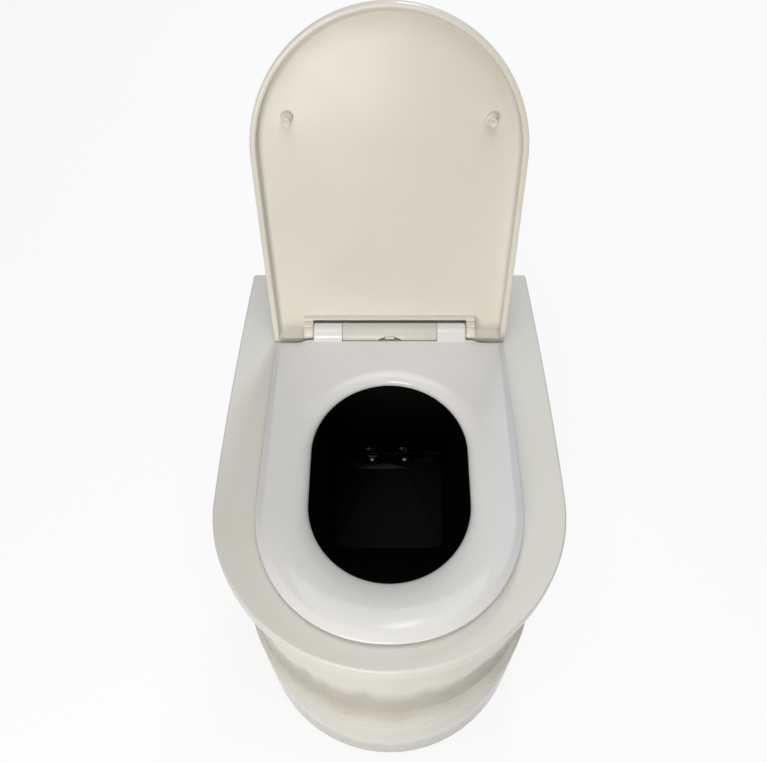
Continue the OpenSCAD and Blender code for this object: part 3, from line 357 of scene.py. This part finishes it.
# Seat: a crowned ring of thicker urea moulding, cooler white than the body. It
# has a crisp bevel round the outside, a rolled inner edge and a level rear edge.
seat_white = moulded("seat_urea_gloss", "#e1e1e0", "#dfdfdd", 0.1, shine=0.4)
joint = {j["name"]: j for j in frame["joints"]}
hinge = Vector(joint["seat_hinge"]["pos_m"])
seat_behind = 0.014
seat_y = hinge.y - seat_behind
seat_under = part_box("seat_buffers")[1].z
seat_thick = 0.018
seat_size = (0.1725, 0.180, 0.2711, 0.458, 2.1, 0.005)
hole_half, hole_long, hole_side, hole_ahead = 0.110, 0.307, 0.039, 0.074
hole_end = hole_long / 2 - hole_side
hole_middle = Vector((0.0, -hole_ahead - hole_long / 2))
recess, recess_half, level_half, level_run = 0.0025, 0.076, 0.1235, 0.016

# Across the ring: edge it is measured from, distance in from that edge in mm,
# height as a share of the thickness, and the same where the seat meets its hinge.
section = [(0, 3.0, 0.0, 0.0), (0, 0.8, 0.03, 0.03), (0, 0.0, 0.16, 0.16), (0, 0.0, 0.40, 0.90),
           (0, 0.2, 0.445, 0.94), (0, 0.8, 0.48, 0.975), (0, 1.7, 0.512, 0.995),
           (0, 2.7, 0.548, 1.0), (0, 9.0, 0.766, 1.0), (0, 9.9, 0.797, 1.0),
           (0, 10.7, 0.822, 1.0), (0, 11.7, 0.846, 1.0), (0, 13.2, 0.866, 1.0),
           (0, 17.0, 0.9, 1.0), (0, 24.0, 0.95, 1.0), (0, 34.0, 1.0, 1.0),
           (1, 26.0, 1.0, 1.0), (1, 20.0, 0.97, 0.97), (1, 14.0, 0.9, 0.9),
           (1, 8.0, 0.775, 0.775), (1, 3.5, 0.6, 0.6), (1, 1.0, 0.42, 0.42),
           (1, 0.0, 0.25, 0.25), (1, 0.6, 0.06, 0.06), (1, 2.0, 0.0, 0.0)]


def hole_point(p):
    """The edge of the hole in the direction of an outline point."""
    way = (p - hole_middle).normalized()
    x, y = abs(way.x), abs(way.y)
    if y * hole_half <= x * hole_side:
        return hole_middle + way * (hole_half / x)
    steep = (x / hole_half) ** 2 + (y / hole_end) ** 2
    lean = y * hole_side / hole_end ** 2
    over = math.sqrt(lean ** 2 + steep * (1 - (hole_side / hole_end) ** 2))
    return hole_middle + way * ((lean + over) / steep)


def level(p):
    """How level the seat runs out at an outline point: 1 at the hinge."""
    if p.y < -recess:
        return 0.0
    return min(1.0, max(0.0, (level_half + level_run - abs(p.x)) / level_run))


seat_out = [(x, y) for x, y in outline(seat_size, steps=14, across=2) if y < 0 or x > 0]
rear_half = seat_out[0][0]
recess_step, corner_gap = 0.001, 0.004
rear = [(recess_half * k / 6, -recess) for k in range(7)]
rear += [(recess_half + recess_step + (rear_half - corner_gap - recess_half) * k / 9, 0.0)
         for k in range(10)]
seat_out += [(-x, y) for x, y in reversed(rear[1:])] + rear
rings = []
for edge, inward, share, level_share in section:
    ring = []
    for p in map(Vector, seat_out):
        ends = (p, hole_point(p))
        start, far = ends[edge], ends[1 - edge]
        at = start + (far - start).normalized() * (inward / 1000)
        height = (share + (level_share - share) * level(p)) * seat_thick
        ring.append((at.x, seat_y + at.y, seat_under + height))
    rings.append(ring)
bm = bmesh.new()
loft(bm, rings + rings[:1])
bmesh.ops.remove_doubles(bm, verts=bm.verts, dist=0.000001)
piece("seat_moulding", bm, seat_white, "seat", "seat_white", "seat_ring", sharp=30)

# Hinge end of the seat: two barrels that stand up out of its level rear edge,
# one at each side of the cover, moulded in one with it and run out in a fillet.
barrel_r, barrel_near, barrel_far = 0.0155, 0.072, 0.1155
barrel_round, blend_r = 0.003, 0.009
under = seat_under - hinge.z
crown = under + seat_thick
blend_y = -math.sqrt((barrel_r + blend_r) ** 2 - (crown + blend_r) ** 2)
blend_turn = 90 - math.degrees(math.asin((crown + blend_r) / (barrel_r + blend_r)))


def round_point(centre, r, degrees):
    """A point of a circle in the plane across the hinge."""
    a = math.radians(degrees)
    return centre[0] + r * math.cos(a), centre[1] + r * math.sin(a)


toe, toe_sink, toe_lift, heel = 0.004, 0.0003, 0.001, 0.0145
barrel_side = [(blend_y - toe, crown - toe_sink), (blend_y - toe, under + toe_lift),
               (-heel, under + toe_lift)]
barrel_side += [round_point((0, 0), barrel_r, a) for a in range(-130, 150, 10)]
barrel_side += [round_point((blend_y, crown + blend_r), blend_r, blend_turn * k / 8 - 90)
                for k in range(8, -1, -1)]


def extruded(bm, points, x0, x1):
    """A bar with the section of points in (y, z). Returns its far end."""
    start = bm.faces.new([bm.verts.new((x0, y, z)) for y, z in points])
    made = bmesh.ops.extrude_face_region(bm, geom=[start], use_keep_orig=True)["geom"]
    moved = [v for v in made if isinstance(v, bmesh.types.BMVert)]
    bmesh.ops.translate(bm, verts=moved, vec=(x1 - x0, 0, 0))
    return [f for f in made if isinstance(f, bmesh.types.BMFace)][0]


def rounded_end(bm, cap, r, steps=5):
    """Rounds off the end of a bar."""
    bmesh.ops.recalc_face_normals(bm, faces=bm.faces)
    d = up = 0.0
    for d1, up1 in quarter(r, steps):
        bmesh.ops.inset_region(bm, faces=[cap], thickness=d1 - d, depth=up1 - up,
                               use_even_offset=True)
        d, up = d1, up1


bm = bmesh.new()
for way in (-1, 1):
    bar = bmesh.new()
    cap = extruded(bar, [(hinge.y + y, hinge.z + z) for y, z in barrel_side],
                   way * barrel_near, way * (barrel_far - barrel_round))
    rounded_end(bar, cap, barrel_round)
    mesh = bpy.data.meshes.new("bar")
    bar.to_mesh(mesh)
    bar.free()
    bm.from_mesh(mesh)
    bpy.data.meshes.remove(mesh)
piece("seat_hinge_barrels", bm, seat_white, "seat", "seat_white", "seat_ring")

# Lid: a shallow tray moulded in urea like the seat, in a slightly warmer white.
# Its hollow faces the camera when it is open, and a notch clears the hinge.


def block(bm, low, high, edge, steps=3):
    """A box with rounded edges."""
    made = bmesh.ops.create_cube(bm, size=1.0)["verts"]
    size = Vector(high) - Vector(low)
    bmesh.ops.scale(bm, vec=size, verts=made)
    bmesh.ops.translate(bm, vec=(Vector(high) + Vector(low)) / 2, verts=made)
    edges = {e for v in made for e in v.link_edges}
    bmesh.ops.bevel(bm, geom=list(edges), offset=edge, offset_type="OFFSET",
                    segments=steps, profile=0.5, affect="EDGES", clamp_overlap=True,
                    material=-1)


def carve(target, cutter_bm):
    """Cuts a solid out of a mesh object, for good."""
    bmesh.ops.recalc_face_normals(cutter_bm, faces=cutter_bm.faces)
    mesh = bpy.data.meshes.new("cutter")
    cutter_bm.to_mesh(mesh)
    cutter_bm.free()
    cutter = bpy.data.objects.new("cutter", mesh)
    bpy.context.scene.collection.objects.link(cutter)
    cut = target.modifiers.new("cut", "BOOLEAN")
    cut.operation = "DIFFERENCE"
    cut.object = cutter
    cut.solver = "EXACT"
    graph = bpy.context.evaluated_depsgraph_get()
    result = bpy.data.meshes.new_from_object(target.evaluated_get(graph))
    target.modifiers.clear()
    old = target.data
    target.data = result
    bpy.data.meshes.remove(old)
    bpy.data.objects.remove(cutter)
    result.set_sharp_from_angle(angle=math.radians(40))


lid_white = moulded("lid_urea_gloss", "#e3dfd5", "#dfdbd0", 0.2)
finish("lid_white", lid_white)
lid_opening = math.radians(105)
opened = Matrix.Translation(hinge) @ Matrix.Rotation(-lid_opening, 4, "X")
lid_length, lid_straight = 0.4905, 0.61
lid_size = (0.1775, 0.1805, lid_straight * lid_length, lid_length, 2.0, 0.005)
lid_tail, rim_z, lid_hollow, lid_panel = 0.018, crown - 0.002, 0.018, 0.0035
lid_round, lid_rim = 0.014, 0.008
lid_top = rim_z + lid_hollow + lid_panel
ceiling = rim_z + lid_hollow
notch_half, web, panel_end, web_y = 0.1165, 0.0135, 0.009, -0.013
lip_y, lip_h, lip_t, lug_r = -barrel_r, 0.008, 0.003, 0.010
profile = [(0.165, ceiling + 0.0006), (0.14, ceiling + 0.0005), (0.09, ceiling + 0.0003),
           (0.045, ceiling), (lid_rim + 0.008, ceiling), (lid_rim + 0.0045, ceiling - 0.0003),
           (lid_rim + 0.0022, ceiling - 0.0012), (lid_rim + 0.0008, ceiling - 0.003),
           (lid_rim + 0.0003, ceiling - 0.006), (lid_rim, rim_z + 0.002),
           (lid_rim - 0.0005, rim_z + 0.0006), (lid_rim - 0.0018, rim_z),
           (0.0016, rim_z), (0.0004, rim_z + 0.0005), (0.0, rim_z + 0.0018),
           (0.0, lid_top - lid_round)]
profile += [(d, lid_top - lid_round + up) for d, up in quarter(lid_round, 9)]
profile += [(0.03, lid_top + 0.0006), (0.07, lid_top + 0.0011), (0.12, lid_top + 0.0013),
            (0.165, lid_top + 0.0014)]
rings = [[(x, y + lid_tail, z) for x, y in outline(lid_size, d, steps=14, across=20)]
         for d, z in profile]
bm = bmesh.new()
for loop in loft(bm, rings):
    bmesh.ops.contextual_create(bm, geom=loop)
lid = piece("lid_moulding", bm, lid_white, "lid", "lid_white", "lid_shell", sharp=35)
cut_past, cut_low, cut_high, cut_edge = 0.02, -0.02, 0.05, 0.0002
bm = bmesh.new()
block(bm, (-notch_half, panel_end, cut_low), (notch_half, lid_tail + cut_past, cut_high),
      cut_edge, 1)
carve(lid, bm)
web_lap, back_short = 0.001, 0.003
web_edge, tail_edge, back_edge = 0.0009, 0.0012, 0.0006
web_top = ceiling + web_lap
bm = bmesh.new()
bm.from_mesh(lid.data)
for way in (-1, 1):
    low, high = sorted((way * notch_half, way * (notch_half + web)))
    block(bm, (low, web_y, rim_z), (high, -lug_r, web_top), web_edge)
    block(bm, (low, lip_y - lip_t, ceiling - lip_h), (high, -lug_r, web_top), web_edge)
    block(bm, (low, lug_r, rim_z), (high, lid_tail - web_lap, web_top), tail_edge)
    block(bm, (low, lip_y, lug_r + web_lap), (high, lid_tail - back_short, web_top), back_edge)
block(bm, (-notch_half - web_lap, lip_y - lip_t, ceiling - lip_h),
      (notch_half + web_lap, lip_y, web_top), web_edge)
bm.transform(opened)
bm.to_mesh(lid.data)
bm.free()
for face in lid.data.polygons:
    face.use_smooth = True
lid.data.set_sharp_from_angle(angle=math.radians(35))

# Buffers under the lid: soft thermoplastic rubber, stepped, with a raised ring
# round a dished centre. They are pushed into the lid and meet the seat.
pad_white = moulded("lid_pad_elastomer", "#e6e2d8", "#dfdacf", 0.42, 3)
pad_side, pad_front = 0.131, 0.1435
pad_section = [(0.008, 0.0), (0.008, 0.0068), (0.0077, 0.0075), (0.0070, 0.0077),
               (0.0062, 0.0078), (0.0060, 0.0082), (0.0060, 0.0148), (0.0057, 0.0154),
               (0.0050, 0.0157), (0.0042, 0.0157), (0.0037, 0.0153), (0.0033, 0.0149),
               (0.0, 0.0148)]
bm = bmesh.new()
for way in (-1, 1):
    verts = [bm.verts.new((r, 0, -z)) for r, z in pad_section]
    edges = [bm.edges.new(pair) for pair in zip(verts, verts[1:])]
    bmesh.ops.spin(bm, geom=verts + edges, cent=(0, 0, 0), axis=(0, 0, 1),
                   angle=math.tau, steps=48, use_merge=True)
    turned = [v for v in bm.verts if not v.tag]
    at = Vector((way * pad_side, lid_tail - lid_length + pad_front, ceiling))
    bmesh.ops.transform(bm, matrix=opened @ Matrix.Translation(at), verts=turned)
    for v in turned:
        v.tag = True
bmesh.ops.remove_doubles(bm, verts=bm.verts, dist=0.00001)
bmesh.ops.holes_fill(bm, edges=[e for e in bm.edges if e.is_boundary], sides=0)
piece("lid_pads", bm, pad_white, "lid", "soft_rubber", "lid_buffers", sharp=50)

# Hinge cover: the fixed middle of the hinge line, a long rounded cap moulded in
# satin off white nylon and clipped over the hinge base. A thumb notch is low in
# its front face.
cover_white = moulded("hinge_cover_satin", "#d0d0c8", "#cccbc2", 0.28)
cover_low, cover_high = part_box("hinge_cover")
cover_edge = 0.0009
cover_side = [(hinge.y - barrel_r, cover_low.z), (hinge.y + barrel_r, cover_low.z)]
cover_side += [round_point((hinge.y, hinge.z), barrel_r, a) for a in range(0, 181, 9)]
bm = bmesh.new()
extruded(bm, cover_side, cover_low.x, cover_high.x)
rims = [e for e in bm.edges if abs(e.verts[0].co.x - e.verts[1].co.x) < cover_edge]
bmesh.ops.bevel(bm, geom=rims, offset=cover_edge, offset_type="OFFSET", segments=2,
                profile=0.5, affect="EDGES", clamp_overlap=True, material=-1)
cover = piece("hinge_cap", bm, cover_white, "cabinet", "hinge_plastic", "hinge_cover")
scoop_half, scoop_low, roof_half, roof = 0.0175, -0.002, 0.0076, 0.0085
scoop = [(-scoop_half, scoop_low), (scoop_half, scoop_low), (scoop_half, crown),
         (roof_half, roof), (-roof_half, roof), (-scoop_half, crown)]
scoop_depth, scoop_back = 0.011, 0.0098
bm = bmesh.new()
front = bm.faces.new([bm.verts.new((x, hinge.y - scoop_back, hinge.z + z)) for x, z in scoop])
made = bmesh.ops.extrude_face_region(bm, geom=[front], use_keep_orig=True)["geom"]
bmesh.ops.translate(bm, verts=[v for v in made if isinstance(v, bmesh.types.BMVert)],
                    vec=(0, -scoop_depth, 0))
carve(cover, bm)

# Floor: plain pale paper, seamless up to the backdrop. Camera and glossy rays see
# it at the backdrop's white, less the object's shadow.
floor_size = 30.0
bm = bmesh.new()
bmesh.ops.create_grid(bm, x_segments=2, y_segments=2, size=floor_size)
mesh = bpy.data.meshes.new("floor")
bm.to_mesh(mesh)
bm.free()
floor = bpy.data.objects.new("floor", mesh)
bpy.context.scene.collection.objects.link(floor)
paper, tree, place = bare("floor_pale_paper")
laid = add(tree, "ShaderNodeBsdfDiffuse", Color=linear("#606060"))
matt = add(tree, "ShaderNodeBsdfDiffuse", Color=linear("#707070"))
lift = add(tree, "ShaderNodeEmission", Color=linear("#ffffff"), Strength=0.83)
bright = add(tree, "ShaderNodeAddShader", Shader=(matt, lift))
ray = add(tree, "ShaderNodeLightPath").outputs
shown = add(tree, "ShaderNodeMath", operation="MAXIMUM",
            Value=(ray["Is Camera Ray"], ray["Is Glossy Ray"]))
mix = add(tree, "ShaderNodeMixShader", Fac=shown, Shader=(laid, bright))
add(tree, "ShaderNodeOutputMaterial", Surface=mix)
floor.data.materials.append(paper)

# Light: a white room with a wide ceiling light and a short tube, a faintly warm
# light low in front, and a cool window behind on the right. The window throws the
# lid's shadow forward and to the left.
world = bpy.data.worlds.new("room")
bpy.context.scene.world = world
world.use_nodes = True
tree = world.node_tree
tree.nodes.clear()
air = add(tree, "ShaderNodeBackground", Color=linear("#ffffff"), Strength=0.21)
seen = add(tree, "ShaderNodeBackground", Color=linear("#fafafa"))
ray = add(tree, "ShaderNodeLightPath").outputs
pick = add(tree, "ShaderNodeMixShader", Fac=ray["Is Camera Ray"], Shader=(air, seen))
add(tree, "ShaderNodeOutputWorld", Surface=pick)


def lamp(name, where, target, wide, tall, power, code):
    """A soft rectangular light at a place, aimed at a point."""
    light = bpy.data.lights.new(name, "AREA")
    light.shape = "RECTANGLE"
    light.size = wide
    light.size_y = tall
    light.energy = power
    light.color = linear(code)[:3]
    made = bpy.data.objects.new(name, light)
    made.location = where
    made.rotation_euler = (Vector(target) - Vector(where)).to_track_quat("-Z", "Y").to_euler()
    bpy.context.scene.collection.objects.link(made)


lamp("window", (0.55, 3.0, 2.6), (0.0, 0.0, 0.5), 0.7, 0.7, 48.0, "#eaf0ff")
lamp("fill", (-0.4, -2.0, 0.95), (0.0, 0.0, 0.4), 0.9, 0.9, 28.0, "#fffaf2")
lamp("ceiling", (0.0, -0.4, 3.6), (0.0, -0.1, 0.5), 2.2, 2.2, 41.0, "#ffffff")
lamp("tube", (0.12, -0.2, 3.0), (0.0, 0.0, 0.5), 0.3, 0.05, 1.2, "#ffffff")

# Camera: one metre over the deck and a quarter metre ahead of its front, fitted
# to the photograph's outlines. The fit gave its place from hinge line and deck.
camera_ahead, camera_over, camera_side = 0.7585, 1.0072, 0.0018
camera_tilt = math.radians(57.3)
picture_w, picture_h, focal_px, centre_x, centre_y = 767, 762, 809.9, 390.8, 402.0
camera = bpy.data.cameras.new("camera")
camera.sensor_width = 36.0
camera.lens = camera.sensor_width * focal_px / picture_w
camera.shift_x = -(centre_x - picture_w / 2) / picture_w
camera.shift_y = (centre_y - picture_h / 2) / picture_w
eye = bpy.data.objects.new("camera", camera)
eye.location = (camera_side, hinge.y - camera_ahead, deck_high.z + camera_over)
eye.rotation_euler = (math.pi / 2 - camera_tilt, 0, 0)
bpy.context.scene.collection.objects.link(eye)
bpy.context.scene.camera = eye
bpy.context.scene.view_settings.view_transform = "Standard"

bpy.context.view_layer.update()
